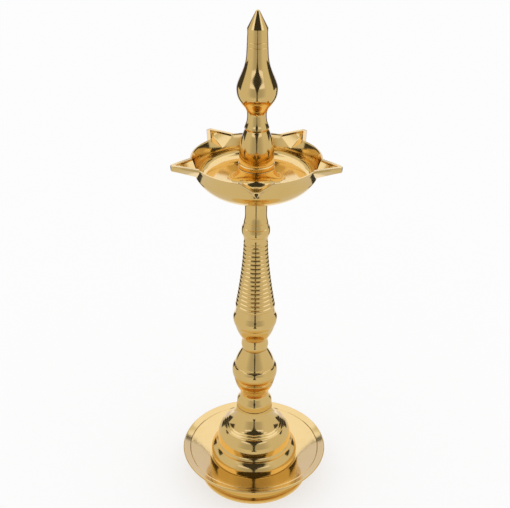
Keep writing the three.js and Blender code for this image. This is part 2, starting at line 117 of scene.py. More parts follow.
class Outline:
    """A turned outline of (radius, height) points, drawn with straight runs and curves."""

    def __init__(self, radius, height):
        self.points = [(radius, height)]

    def to(self, radius, height):
        """A straight run."""
        self.points.append((radius, height))
        return self

    def curve(self, r1, z1, r2, z2, r3, z3, steps):
        """A cubic curve with two handles, to (r3, z3)."""
        r0, z0 = self.points[-1]
        for i in range(1, steps + 1):
            t = i / steps
            a, b, c, d = (1 - t) ** 3, 3 * t * (1 - t) ** 2, 3 * t * t * (1 - t), t ** 3
            self.points.append((a * r0 + b * r1 + c * r2 + d * r3, a * z0 + b * z1 + c * z2 + d * z3))
        return self

    def bend(self, r1, z1, r2, z2, steps=16):
        """A curve with one handle, to (r2, z2)."""
        r0, z0 = self.points[-1]
        for i in range(1, steps + 1):
            t = i / steps
            a, b, c = (1 - t) ** 2, 2 * t * (1 - t), t * t
            self.points.append((a * r0 + b * r1 + c * r2, a * z0 + b * z1 + c * z2))
        return self

    def run(self, radius, height, near, far, steps=28):
        """A cubic run. Each handle is two shares, of the run's width and of its height."""
        r0, z0 = self.points[-1]
        width, rise = radius - r0, height - z0
        return self.curve(
            r0 + near[0] * width, z0 + near[1] * rise,
            r0 + far[0] * width, z0 + far[1] * rise, radius, height, steps)

    def line(self, radius, height, slope=0.0):
        """A fine line cut across an outline that has the given slope."""
        self.to(radius - slope * LINE_HALF, height - LINE_HALF)
        self.to(radius - LINE_DEPTH, height)
        return self.to(radius + slope * LINE_HALF, height + LINE_HALF)

    def softened(self, radius=0.25, steps=3, corner=math.radians(18)):
        """The points with every sharp corner cut to a small round."""
        out = []
        last = len(self.points) - 1
        for i, point in enumerate(self.points):
            here = Vector(point)
            if i in (0, last):
                out.append(point)
                continue
            before = Vector(self.points[i - 1]) - here
            after = Vector(self.points[i + 1]) - here
            turn = math.pi - before.angle(after, math.pi)
            if turn < corner:
                out.append(point)
                continue
            room = 0.45 * min(before.length, after.length)
            cut = min(radius * math.tan(turn / 2), room)
            start = here + before.normalized() * cut
            end = here + after.normalized() * cut
            for k in range(steps + 1):
                t = k / steps
                out.append(tuple((1 - t) ** 2 * start + 2 * t * (1 - t) * here + t * t * end))
        return out


def outward(mesh, knitted=False):
    """Turns the faces outwards. A mesh that is to be knitted is first closed at its seams and ends."""
    knit = bmesh.new()
    knit.from_mesh(mesh)
    if knitted:
        bmesh.ops.remove_doubles(knit, verts=knit.verts, dist=0.00002)
        bmesh.ops.dissolve_degenerate(knit, edges=knit.edges, dist=0.00001)
        bmesh.ops.holes_fill(knit, edges=knit.edges, sides=0)
    bmesh.ops.recalc_face_normals(knit, faces=knit.faces)
    knit.to_mesh(mesh)
    knit.free()


def meshed(name, vertices, faces):
    """A mesh from vertices in millimetres."""
    mesh = bpy.data.meshes.new(name)
    mesh.from_pydata([Vector(v) * MM for v in vertices], [], faces)
    mesh.validate()
    outward(mesh)
    return mesh


def linked(name, data):
    """An object in the scene, made from a mesh or a camera."""
    piece = bpy.data.objects.new(name, data)
    bpy.context.scene.collection.objects.link(piece)
    return piece


def finished(name, mesh, material, smooth=math.radians(40)):
    """A smooth-shaded piece with one material."""
    mesh.name = name
    mesh.materials.clear()
    mesh.materials.append(material)
    mesh.shade_smooth()
    mesh.set_sharp_from_angle(angle=smooth)
    piece = linked(name, mesh)
    even = piece.modifiers.new("Even normals", "WEIGHTED_NORMAL")
    even.keep_sharp = True
    return piece


def lathe(points, steps, base=0.0):
    """Vertices and faces of the closed surface that (radius, height) points sweep round the axis."""
    on_axis, same_place = 1e-6, 1e-4
    vertices, rings, faces = [], [], []
    for r, z in points:
        if r < on_axis:
            rings.append([len(vertices)] * steps)
            vertices.append((0, 0, base + z))
            continue
        rings.append(list(range(len(vertices), len(vertices) + steps)))
        for k in range(steps):
            angle = 2 * math.pi * k / steps
            vertices.append(around(r, angle, base + z))
    pairs = list(zip(rings, rings[1:]))
    if points[0][0] > on_axis:
        if (Vector(points[0]) - Vector(points[-1])).length < same_place:
            pairs[-1] = (rings[-2], rings[0])
            del vertices[-steps:]
        else:
            pairs.append((rings[-1], rings[0]))
    for low, high in pairs:
        for k in range(steps):
            n = (k + 1) % steps
            corners = [low[k], low[n], high[n], high[k]]
            corners = [c for i, c in enumerate(corners) if c != corners[i - 1]]
            if len(corners) > 2:
                faces.append(corners)
    return vertices, faces


def turned(name, outline, base, material, steps=160, radius=0.25):
    """A turned piece whose outline stands on height base."""
    return finished(name, meshed(name, *lathe(outline.softened(radius), steps, base)), material)


def foot_outline(shape):
    """The foot's ring, the outside of the saucer, its lip, its inside and the hole for the stud."""
    foot = shape.foot_radius / MM
    rim = shape.rim_radius / MM
    top = high_end("foot_saucer")
    floor = shape.saucer_floor / MM
    under = floor - CAST_WALL
    line = shape.saucer_line / MM
    inner = foot - 4.5
    path = Outline(inner, 0)
    path.to(foot, 0).to(foot, 3.6).to(foot - 2, 4.4)
    path.run(57.5, under, (0.1, 0.75), (0.3, 0.95))
    path.run(rim, top - 1.1, (0.45, 0.1), (0.85, 0.55))
    path.to(rim - 0.4, top - 0.2).bend(rim - 0.9, top + 0.2, rim - 1.5, top - 0.35, steps=4)
    path.to(line + 0.5, top - 2.2).to(line, top - 2.7).to(line - 0.5, top - 2.35)
    path.run(42.5, floor, (0.35, 0.45), (0.65, 0.85))
    path.to(BORE_RADIUS, floor).to(BORE_RADIUS, under)
    path.to(inner - CAST_WALL, under).bend(inner, under, inner, under - CAST_WALL)
    return path.to(inner, 0)


def bell_outline(shape):
    """The bell's steps, its three lines and its flared neck, and the same from the inside."""
    top = tall("pedestal_bell")
    foot = shape.bell_radius / MM
    inner = foot - CAST_WALL
    wide, shoulder = 35.1, 17.4
    lines = ((28.9, 34.2), (27, 35.6), (25.2, 37))
    path = Outline(inner, 0)
    path.to(foot, 0).to(foot, 3.6)
    path.run(36.6, 12, (0, 0.35), (0.25, 0.6))
    path.to(36.1, 12.5).bend(37.8, 14.7, wide, shoulder)
    path.run(29.2, 33.9, (0.02, 0.58), (0.44, 0.8))
    for radius, height in lines:
        path.line(radius, height, -1)
    path.run(16.8, top, (0.55, 0.2), (1, 0.5))
    path.to(BORE_RADIUS, top).to(BORE_RADIUS, top - 7)
    path.to(13.6, top - 7).to(21.2, 37)
    path.run(wide - CAST_WALL, shoulder, (0.5, 0.2), (1, 0.4))
    return path.to(wide - CAST_WALL, 10.4).to(inner, 3.6).to(inner, 0)


def collar_outline():
    top = tall("collar_ring")
    wide = widest("collar_ring")
    path = Outline(BORE_RADIUS, 0)
    path.to(wide, 0).to(wide, 5.2)
    path.run(12.95, 14.4, (0, 0.37), (1, 0.5))
    return path.to(13.6, top).to(BORE_RADIUS, top).to(BORE_RADIUS, 0)


def knob_outline(shape):
    """The knob above its seat, with the plain stretch of its stud and the hole for the column's stud."""
    top = shape.knob_height / MM
    wide = widest("lower_knob")
    plain = low_end("lower_knob") + THREAD_LENGTH - high_end("collar_ring") - SEAT_GAP
    path = Outline(0, plain).to(STUD_RADIUS, plain).to(STUD_RADIUS, 0)
    path.to(13.8, 0)
    path.run(18.9, 13.7, (0.31, 0.33), (0.75, 0.44)).line(18.9, 14.1)
    path.run(wide, 22.6, (0.55, 0.3), (1, 0.55))
    path.run(18.6, 29.6, (0, 0.88), (0.95, 0.9)).line(18.5, 30, -0.5)
    path.run(11.4, top, (0.16, 0.41), (0.84, 0.77))
    hole = THREAD_ROOT + THREAD_PLAY
    return path.to(hole, top).to(hole, top - HOLE_DEPTH).to(0, top - HOLE_DEPTH)


def ring_outline():
    top = tall("bead_ring")
    path = Outline(BORE_RADIUS, 0).to(11.4, 0)
    path.run(widest("bead_ring"), 4.2, (0.5, 0.25), (1, 0.55))
    path.run(11.7, top, (0, 0.25), (1, 0.5))
    return path.to(BORE_RADIUS, top).to(BORE_RADIUS, 0)


def column_outline(shape):
    """The column above its seat: its lower stud, bulb, ribs, bead, neck and upper stud."""
    top = shape.column_height / MM
    wide = widest("ribbed_column")
    seat = high_end("bead_ring") + SEAT_GAP
    low = low_end("ribbed_column") + THREAD_LENGTH - seat
    high = high_end("ribbed_column") - THREAD_LENGTH - seat
    path = Outline(0, low).to(STUD_RADIUS, low).to(STUD_RADIUS, 0)
    path.to(12, 0)
    path.run(18.3, 14.6, (0.32, 0.18), (0.86, 0.62)).to(18.75, 15)
    path.run(wide, 21.2, (0.48, 0.27), (1, 0.55))
    path.run(18, 27.6, (0, 0.5), (0.85, 0.62))
    first_rib, last_radius, first_radius, taper = 34, 10.75, 17.8, 1.55
    pitch = shape.rib_pitch / MM
    depth = shape.rib_depth / MM
    for i in range(shape.rib_count):
        radius = mix(last_radius, first_radius, (1 - i / (shape.rib_count - 1)) ** taper)
        edge = first_rib + i * pitch
        path.to(radius - depth, edge - 0.7)
        path.to(radius - 0.1, edge + 0.05)
        path.bend(radius + 0.15, edge + 1.25, radius - 0.25, edge + 2.5, steps=6)
    path.run(11.4, 105.9, (0, 0.5), (0.6, 0.7))
    path.to(11.95, 106.6).bend(12.95, 109.85, 11.95, 113.4).to(11.3, 113.9)
    path.line(10.4, 118.9)
    path.run(9.6, 126, (0.6, 0.3), (1, 0.5)).run(10.4, top, (0, 0.4), (0.6, 0.7))
    return path.to(STUD_RADIUS, top).to(STUD_RADIUS, high).to(0, high)


def finial_outline():
    """The threaded hole, the foot, the waist, the bud, its two lines and the point."""
    top = tall("finial")
    hole = THREAD_ROOT + THREAD_PLAY
    path = Outline(0, HOLE_DEPTH).to(hole, HOLE_DEPTH).to(hole, 0)
    path.to(15.3, 0).to(15.3, 3.1).to(14.3, 3.6).to(14.7, 4.1)
    path.run(9.8, 32.8, (-0.04, 0.35), (0.23, 0.74)).to(10.3, 34.4)
    path.run(8.1, 45.1, (0.32, 0.29), (1, 0.37))
    path.run(widest("finial"), 67.1, (0, 0.4), (1, 0.445))
    path.run(9, 95, (0, 0.26), (0.92, 0.54), steps=40)
    path.line(8.65, 102).line(8.5, 106)
    path.to(8.2, 112.5).to(8.4, 116.3).to(1.5, top - 0.8)
    return path.bend(0.9, top, 0, top, steps=6)


def thread_piece(name, low, material, steps=40):
    """A right-handed screw thread on the lamp's axis, THREAD_LENGTH long from height low."""
    crest = (
        (0.0, THREAD_ROOT), (0.22, THREAD_ROOT), (0.42, STUD_RADIUS), (0.6, STUD_RADIUS), (0.8, THREAD_ROOT))
    turns = math.ceil(THREAD_LENGTH / THREAD_PITCH)
    vertices, faces = [], []
    for i in range(steps + 1):
        angle = 2 * math.pi * i / steps
        for turn in range(-1, turns + 1):
            for share, radius in crest:
                z = (i / steps + turn + share) * THREAD_PITCH
                z = min(max(z, 0.0), THREAD_LENGTH)
                vertices.append(around(radius, angle, low + z))
    rows = (turns + 2) * len(crest)
    for i in range(steps):
        for k in range(rows - 1):
            a, b = i * rows + k, (i + 1) * rows + k
            faces.append((a, b, b + 1, a + 1))
    mesh = meshed(name, vertices, faces)
    outward(mesh, knitted=True)
    return finished(name, mesh, material)


def washer_piece(name, node, material):
    """A flat ring round the stud, as large as its node."""
    wide, top = widest(node), tall(node)
    ring = Outline(BORE_RADIUS, 0).to(wide, 0).to(wide, top).to(BORE_RADIUS, top).to(BORE_RADIUS, 0)
    return turned(name, ring, low_end(node), material, steps=96)


def nut_piece(name, node, material, sides=120):
    """A hexagonal nut with turned edges. Its rows are (radius, height, whether the row has corners)."""
    low, high = low_end(node), high_end(node)
    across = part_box(node)[1][1] / MM
    flat = across * math.cos(math.pi / 6)
    edge, mouth, throat = 0.9, BORE_RADIUS + 0.4, THREAD_ROOT + 0.6
    rows = (
        (flat - 0.4, low, False), (across, low + edge, True), (across, high - edge, True),
        (flat - 0.4, high, False), (mouth, high, False), (throat, high - 0.6, False),
        (throat, low + 0.6, False), (mouth, low, False))
    vertices, faces = [], []
    for radius, height, cornered in rows:
        for k in range(sides):
            angle = 2 * math.pi * k / sides
            turn = (angle - math.pi / 6) % (math.pi / 3) - math.pi / 6
            reach = min(radius, flat / math.cos(turn)) if cornered else radius
            vertices.append((reach * math.sin(angle), reach * math.cos(angle), height))
    for row in range(len(rows)):
        up = (row + 1) % len(rows)
        for k in range(sides):
            n = (k + 1) % sides
            faces.append((row * sides + n, row * sides + k, up * sides + k, up * sides + n))
    return finished(name, meshed(name, vertices, faces), material, math.radians(25))


class DishShape:
    """The oil dish: a turned bowl with spouts, each a trough with an upright lip."""

    def __init__(self, shape):
        self.rim_radius = shape.dish_rim_radius / MM
        self.rim_height = 34.6
        self.wall = shape.dish_wall / MM
        # A spout, from its root in the bowl to its tip
        self.root = 44.0
        self.reach = -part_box("oil_dish")[0][1] / MM
        self.root_half = shape.spout_half_width / MM
        self.tip_half = 1.8
        self.root_depth = 14.0
        self.tip_depth = 5.0
        self.rise = 1.4
        self.lip = 2.0
        self.edge = shape.spout_edge / MM
        self.nose = 0.9

    def outside(self):
        """The short neck, the recess round it and the bowl's outside."""
        path = Outline(0, 0).to(10.4, 0).to(10.4, 3.5).bend(10.4, 7, 16, 7).to(34.4, 7)
        path.run(51.5, 21.3, (0.51, 0), (1, 0.85))
        path.run(self.rim_radius, self.rim_height - 0.5, (0.1, 0.35), (0.5, 0.75))
        path.to(self.rim_radius - 0.2, self.rim_height)
        return path.to(0, self.rim_height)

    def inside(self):
        """The space for the oil, with the hub and the seal's seat left standing."""
        mouth = self.rim_radius - self.wall
        path = Outline(0, 24.9).to(12.4, 24.9).to(12.4, 26.4).to(15.6, 26.4)
        path.run(25, 14.2, (0.1, 0.72), (0.42, 0.96)).to(43, 15)
        path.run(49.7, 23.1, (0.6, 0.1), (1, 0.5))
        path.run(mouth, self.rim_height - 0.6, (0.2, 0.3), (0.6, 0.7)).to(mouth + 0.5, self.rim_height)
        return path.to(mouth + 0.5, self.rim_height + 1).to(0, self.rim_height + 1)

    def section(self, t, x, hollow):
        """One side of a spout's section from its top down to the keel. A hollow one is the trough."""
        top = self.rim_height + self.rise * t * t * (3 - 2 * t)
        inset = self.edge if hollow else 0.0
        half = mix(self.root_half - inset, self.tip_half, t)
        keel = mix(self.rim_height - self.root_depth, self.rim_height + self.rise - self.tip_depth, t)
        if not hollow:
            nose = max(x - self.reach + self.nose, 0.0)
            return [
                (half - 0.3 - nose, top - nose / 3), (half - nose / 2, top - 0.4 - nose / 3),
                (half - nose / 2, top - self.lip), (half / 6, keel + 0.4 + nose / 2),
                (0.0, keel + nose / 2)]
        half = mix(self.root_half - inset, 0.3, t)
        keel += self.wall
        return [
            (half + 0.4, top + 1), (half + 0.4, top), (half, top - 0.4),
            (half, top - self.lip), (half / 8, keel + 0.3), (0.0, keel)]

    def spout(self, hollow, start):
        """Vertices and faces of one spout that points along +X."""
        near, far = (self.root - 2, self.reach - 4) if hollow else (self.root, self.reach)
        steps = 14
        stops = [mix(near, far, i / steps) for i in range(steps + 1)]
        if not hollow:
            stops[-1:] = [far - self.nose, far - self.nose / 2, far]
        vertices, faces, rows = [], [], []
        for x in stops:
            side = self.section((x - near) / (far - near), x, hollow)
            ring = [(x, -y, z) for y, z in side] + [(x, y, z) for y, z in reversed(side[:-1])]
            rows.append(range(start + len(vertices), start + len(vertices) + len(ring)))
            vertices += ring
        count = len(rows[0])
        for low, high in zip(rows, rows[1:]):
            for k in range(count):
                n = (k + 1) % count
                faces.append((low[k], low[n], high[n], high[k]))
        faces.append(tuple(reversed(rows[0])))
        faces.append(tuple(rows[-1]))
        return vertices, faces

    def spouts(self, hollow):
        """All spouts in one mesh. The first points along -Y."""
        vertices, faces = [], []
        for i in range(SPOUTS):
            angle = 2 * math.pi * i / SPOUTS - math.pi / 2
            cos, sin = math.cos(angle), math.sin(angle)
            ring, sides = self.spout(hollow, len(vertices))
            vertices += [(x * cos - y * sin, x * sin + y * cos, z) for x, y, z in ring]
            faces += sides
        return vertices, faces


def dish_piece(name, shape, base, material):
    """The dish with its spouts joined on and its hollows cut out."""
    form = DishShape(shape)

    def helper(title, shell):
        return linked(title, meshed(title, *shell))

    bore = [(0, -1), (BORE_RADIUS, -1), (BORE_RADIUS, 40), (0, 40)]
    body = helper("dish_body", lathe(form.outside().softened(0.6, 5), 200))
    tools = [
        ("UNION", helper("spout_outsides", form.spouts(False))),
        ("DIFFERENCE", helper("dish_space", lathe(form.inside().softened(0.8, 5), 200))),
        ("DIFFERENCE", helper("spout_troughs", form.spouts(True))),
        ("DIFFERENCE", helper("stud_bore", lathe(bore, 96))),
    ]
    for operation, tool in tools:
        step = body.modifiers.new(operation, "BOOLEAN")
        step.operation = operation
        step.solver = "EXACT"
        step.object = tool
    graph = bpy.context.evaluated_depsgraph_get()
    mesh = bpy.data.meshes.new_from_object(body.evaluated_get(graph))
    for used in [body] + [tool for _, tool in tools]:
        bpy.data.objects.remove(used)
    for vertex in mesh.vertices:
        vertex.co.z += base * MM
    return finished(name, mesh, material)


def new_material(name):
    """A new material, its nodes and its links."""
    material = bpy.data.materials.new(name)
    material.use_nodes = True
    return material, material.node_tree.nodes, material.node_tree.links


def noise(nodes, links, place, scale, detail=2.0):
    texture = nodes.new("ShaderNodeTexNoise")
    texture.inputs["Scale"].default_value = scale
    texture.inputs["Detail"].default_value = detail
    links.new(place, texture.inputs["Vector"])
    return texture.outputs["Fac"]


def tinted(nodes, links, share, first, second):
    """Gives the shader a colour between two others."""
    tone = nodes.new("ShaderNodeMix")
    tone.data_type = "RGBA"
    tone.inputs["A"].default_value = (*first, 1)
    tone.inputs["B"].default_value = (*second, 1)
    links.new(share, tone.inputs["Factor"])
    links.new(tone.outputs["Result"], nodes["Principled BSDF"].inputs["Base Color"])


def bumped(nodes, links, height, strength, distance):
    """Gives the shader small bumps, as deep as the distance in metres."""
    bump = nodes.new("ShaderNodeBump")
    bump.inputs["Strength"].default_value = strength
    bump.inputs["Distance"].default_value = distance
    links.new(height, bump.inputs["Height"])
    links.new(bump.outputs["Normal"], nodes["Principled BSDF"].inputs["Normal"])


def round_axis(nodes, links, place):
    """Places as (distance from the axis, 0, height), so that a texture runs round the piece."""
    split = nodes.new("ShaderNodeSeparateXYZ")
    flat = nodes.new("ShaderNodeCombineXYZ")
    length = nodes.new("ShaderNodeVectorMath")
    length.operation = "LENGTH"
    ring = nodes.new("ShaderNodeCombineXYZ")
    links.new(place, split.inputs[0])
    links.new(split.outputs["X"], flat.inputs["X"])
    links.new(split.outputs["Y"], flat.inputs["Y"])
    links.new(flat.outputs[0], length.inputs[0])
    links.new(length.outputs["Value"], ring.inputs["X"])
    links.new(split.outputs["Z"], ring.inputs["Z"])
    return ring.outputs[0]


def brass(name, finish, roughness):
    """Brass with fine turning marks round the axis and a cloudy, slightly uneven tone."""
    material, nodes, links = new_material(name)
    shader = nodes["Principled BSDF"]
    shader.inputs["Metallic"].default_value = 1.0
    place = nodes.new("ShaderNodeTexCoord").outputs["Object"]
    marks = noise(nodes, links, round_axis(nodes, links, place), 1400, 3)
    cloud = noise(nodes, links, place, 45, 5)
    tinted(nodes, links, cloud, finish.brass_colour, finish.deep_colour)
    spread = nodes.new("ShaderNodeMapRange")
    spread.inputs["To Min"].default_value = roughness * 0.75
    spread.inputs["To Max"].default_value = roughness * 1.3
    links.new(cloud, spread.inputs["Value"])
    links.new(spread.outputs["Result"], shader.inputs["Roughness"])
    bumped(nodes, links, marks, finish.turning_marks, 0.0001)
    return material


def seal_material(finish):
    """A dull rubber with a fine grain."""
    material, nodes, links = new_material("Seal")
    nodes["Principled BSDF"].inputs["Roughness"].default_value = 0.8
    speck = noise(nodes, links, nodes.new("ShaderNodeTexCoord").outputs["Object"], 900)
    dark = [c * 0.7 for c in finish.seal_colour]
    pale = [min(c * 1.3, 1) for c in finish.seal_colour]
    tinted(nodes, links, speck, dark, pale)
    bumped(nodes, links, speck, 0.3, 0.0002)
    return material


class LampFinish(bpy.types.PropertyGroup):
    """Colours and polish of the metal."""

    brass_colour: bpy.props.FloatVectorProperty(
        name="Brass", description="Colour of the freshly polished brass",
        subtype="COLOR", size=3, min=0, max=1, default=(0.88, 0.63, 0.25))
    deep_colour: bpy.props.FloatVectorProperty(
        name="Deep Brass", description="Colour where the polish is a little warmer",
        subtype="COLOR", size=3, min=0, max=1, default=(0.85, 0.575, 0.2))
    seal_colour: bpy.props.FloatVectorProperty(
        name="Seal", description="Colour of the washer under the finial",
        subtype="COLOR", size=3, min=0, max=1, default=(0.1, 0.07, 0.045))
    roughness: bpy.props.FloatProperty(
        name="Roughness", description="How dull the polished brass is", min=0, max=1, default=0.1)
    cast_roughness: bpy.props.FloatProperty(
        name="Cast Roughness", description="How dull the unpolished nut and washer are",
        min=0, max=1, default=0.4)
    turning_marks: bpy.props.FloatProperty(
        name="Turning Marks", description="How strongly the fine marks of the lathe show",
        min=0, max=1, default=0.05)


class LampShape(bpy.types.PropertyGroup):
    """Sizes of the turned pieces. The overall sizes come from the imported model."""

    foot_radius: bpy.props.FloatProperty(
        name="Foot Radius", description="Radius of the ring that the lamp stands on",
        unit="LENGTH", default=0.0522)
    rim_radius: bpy.props.FloatProperty(
        name="Saucer Radius", description="Radius of the saucer's rim",
        unit="LENGTH", default=widest("foot_saucer") * MM)
    saucer_floor: bpy.props.FloatProperty(
        name="Saucer Floor", description="Height of the flat that the bell stands on",
        unit="LENGTH", default=(low_end("pedestal_bell") - SEAT_GAP) * MM)
    saucer_line: bpy.props.FloatProperty(
        name="Saucer Line", description="Radius of the line turned inside the saucer's rim",
        unit="LENGTH", default=0.062)
    bell_radius: bpy.props.FloatProperty(
        name="Bell Radius", description="Radius of the bell's foot",
        unit="LENGTH", default=0.0416)
    knob_height: bpy.props.FloatProperty(
        name="Knob Height", description="Height of the lower knob without its stud",
        unit="LENGTH", default=(low_end("bead_ring") - high_end("collar_ring") - 2 * SEAT_GAP) * MM)
    column_height: bpy.props.FloatProperty(
        name="Column Height", description="Height of the ribbed column without its studs",
        unit="LENGTH", default=(low_end("oil_dish") - high_end("bead_ring") - 2 * SEAT_GAP) * MM)
    rib_count: bpy.props.IntProperty(
        name="Ribs", description="How many ribs are turned on the column", min=2, max=40, default=17)
    rib_pitch: bpy.props.FloatProperty(
        name="Rib Pitch", description="Distance from rib to rib", unit="LENGTH", default=0.00397)
    rib_depth: bpy.props.FloatProperty(
        name="Rib Depth", description="Depth of the grooves between the ribs",
        unit="LENGTH", default=0.0007)
    dish_rim_radius: bpy.props.FloatProperty(
        name="Dish Radius", description="Radius of the dish's rim between two spouts",
        unit="LENGTH", default=0.0552)
    dish_wall: bpy.props.FloatProperty(
        name="Dish Wall", description="Thickness of the dish's wall", unit="LENGTH", default=0.0018)
    spout_half_width: bpy.props.FloatProperty(
        name="Spout Half Width", description="Half the width of a spout at its root inside the bowl",
        unit="LENGTH", default=0.0193)
    spout_edge: bpy.props.FloatProperty(
        name="Spout Edge", description="Width of the lip along a spout's trough",
        unit="LENGTH", default=0.0022)


class LampStudio(bpy.types.PropertyGroup):
    """Camera and light."""

    camera_distance: bpy.props.FloatProperty(
        name="Camera Distance", description="How far the camera stands in front of the lamp's axis",
        unit="LENGTH", default=0.7401)
    camera_height: bpy.props.FloatProperty(
        name="Camera Height", description="Height of the camera above the floor",
        unit="LENGTH", default=0.6516)
    camera_pitch: bpy.props.FloatProperty(
        name="Camera Pitch", description="How far the camera looks down",
        subtype="ANGLE", default=math.radians(28.94))
    camera_roll: bpy.props.FloatProperty(
        name="Camera Roll", description="How far the camera leans to one side",
        subtype="ANGLE", default=math.radians(0.5))
    lens: bpy.props.FloatProperty(
        name="Lens", description="Focal length for a 36 mm wide sensor, in millimetres",
        min=1, default=68.19)
    tent: bpy.props.FloatProperty(
        name="Tent", description="Brightness of the cloth tent round the lamp", min=0, default=0.68)
    front: bpy.props.FloatProperty(
        name="Tent Front", description="Brightness of the cloth beside the tent's opening",
        min=0, default=0.45)
    opening: bpy.props.FloatProperty(
        name="Opening", description="Brightness of the room that the tent's opening shows",
        min=0, default=0.04)
    gap: bpy.props.FloatProperty(
        name="Gaps", description="Brightness of the gaps in the tent's sides and floor, and of its seam",
        min=0, default=0.05)
    front_light: bpy.props.FloatVectorProperty(
        name="Front Light", description="Colour of the paler cloth on both sides of the opening",
        subtype="COLOR", size=3, min=0, soft_max=2, default=(0.95, 1, 1.3))
    ceiling_light: bpy.props.FloatVectorProperty(
        name="Ceiling Light", description="Colour of the light above and behind the lamp",
        subtype="COLOR", size=3, min=0, soft_max=2, default=(1.05, 1.12, 1.45))
    # Painted bounce light and shade: the floor round the foot, as the metal shows it, glows a dim warm brass
    # colour that stands in for the light the brass throws on it
    painted_floor_bounce: bpy.props.FloatVectorProperty(
        name="Painted Floor Bounce", description="Colour of the floor close to the lamp, where the lamp lights it",
        subtype="COLOR", size=3, min=0, soft_max=2, default=(0.68, 0.56, 0.33))
    back: bpy.props.FloatVectorProperty(
        name="Tent Back", description="Colour of the low part of the tent behind the lamp",
        subtype="COLOR", size=3, min=0, soft_max=2, default=(0.75, 0.8, 1.22))


class KuthuVilakku(bpy.types.PropertyGroup):
    """All settings of the lamp."""

    finish: bpy.props.PointerProperty(name="Finish", description="Metal and seal", type=LampFinish)
    shape: bpy.props.PointerProperty(name="Shape", description="Sizes", type=LampShape)
    studio: bpy.props.PointerProperty(name="Studio", description="Camera and light", type=LampStudio)


def polished():
    """The polished brass, which is made once."""
    finish = bpy.context.scene.kuthu_vilakku.finish
    made = bpy.data.materials.get("Polished brass")
    return made or brass("Polished brass", finish, finish.roughness)


def dressed(piece, body, slot, *nodes):
    """Puts a finished piece on its body and in place of its nodes."""
    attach(piece, body)
    if nodes:
        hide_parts(*nodes)


class LAMP_OT_foot_saucer(bpy.types.Operator):
    """Add the cast foot with its saucer"""

    bl_idname = "lamp.foot_saucer"
    bl_label = "Foot and Saucer"

    def execute(self, context):
        shape = context.scene.kuthu_vilakku.shape
        piece = turned("saucer_foot", foot_outline(shape), 0, polished(), steps=240)
        dressed(piece, "base", "polished_brass", "foot_saucer")
        return {"FINISHED"}


class LAMP_OT_base_fastener(bpy.types.Operator):
    """Add the washer and the nut under the saucer"""

    bl_idname = "lamp.base_fastener"
    bl_label = "Nut and Washer"

    def execute(self, context):
        finish = context.scene.kuthu_vilakku.finish
        metal = brass("Cast brass", finish, finish.cast_roughness)
        washer = washer_piece("nut_washer", "base_washer", metal)
        dressed(washer, "base", "cast_brass", "base_washer")
        nut = nut_piece("clamp_nut", "base_nut", metal)
        dressed(nut, "base", "cast_brass", "base_nut")
        return {"FINISHED"}


class LAMP_OT_pedestal_bell(bpy.types.Operator):
    """Add the hollow stepped bell"""

    bl_idname = "lamp.pedestal_bell"
    bl_label = "Bell"

    def execute(self, context):
        shape = context.scene.kuthu_vilakku.shape
        piece = turned("bell_shell", bell_outline(shape), low_end("pedestal_bell"), polished(), steps=200)
        dressed(piece, "base", "polished_brass", "pedestal_bell")
        return {"FINISHED"}


class LAMP_OT_lower_stem(bpy.types.Operator):
    """Add the collar, the knob with its long stud, and the neck ring"""

    bl_idname = "lamp.lower_stem"
    bl_label = "Lower Stem"

    def execute(self, context):
        shape = context.scene.kuthu_vilakku.shape
        collar = turned("collar_band", collar_outline(), low_end("collar_ring"), polished())
        dressed(collar, "base", "polished_brass", "collar_ring")
        seat = high_end("collar_ring") + SEAT_GAP
        knob = turned("knob_bulb", knob_outline(shape), seat, polished())
        dressed(knob, "base", "polished_brass", "lower_knob")
        thread = thread_piece("knob_thread", low_end("lower_knob"), polished())
        dressed(thread, "base", "polished_brass")
        ring = turned("neck_bead", ring_outline(), low_end("bead_ring"), polished())
        dressed(ring, "neck_ring", "polished_brass", "bead_ring")
        return {"FINISHED"}


class LAMP_OT_ribbed_column(bpy.types.Operator):
    """Add the ribbed column with its two screw threads"""

    bl_idname = "lamp.ribbed_column"
    bl_label = "Ribbed Column"

    def execute(self, context):
        shape = context.scene.kuthu_vilakku.shape
        seat = high_end("bead_ring") + SEAT_GAP
        piece = turned("column_shaft", column_outline(shape), seat, polished())
        dressed(piece, "column", "polished_brass", "ribbed_column")
        lower = thread_piece("column_lower_thread", low_end("ribbed_column"), polished())
        dressed(lower, "column", "polished_brass")
        upper = thread_piece("column_upper_thread", high_end("ribbed_column") - THREAD_LENGTH, polished())
        dressed(upper, "column", "polished_brass")
        return {"FINISHED"}


class LAMP_OT_oil_dish(bpy.types.Operator):
    """Add the oil dish with its five spouts and the seal on its boss"""

    bl_idname = "lamp.oil_dish"
    bl_label = "Oil Dish"

    def execute(self, context):
        settings = context.scene.kuthu_vilakku
        piece = dish_piece("spouted_dish", settings.shape, low_end("oil_dish"), polished())
        dressed(piece, "dish", "polished_brass", "oil_dish")
        seal = washer_piece("boss_seal", "dish_washer", seal_material(settings.finish))
        dressed(seal, "seal", "seal", "dish_washer")
        return {"FINISHED"}


class LAMP_OT_finial(bpy.types.Operator):
    """Add the finial that screws down on the dish"""

    bl_idname = "lamp.finial"
    bl_label = "Finial"

    def execute(self, context):
        piece = turned("finial_bud", finial_outline(), low_end("finial"), polished())
        dressed(piece, "finial", "polished_brass", "finial")
        return {"FINISHED"}


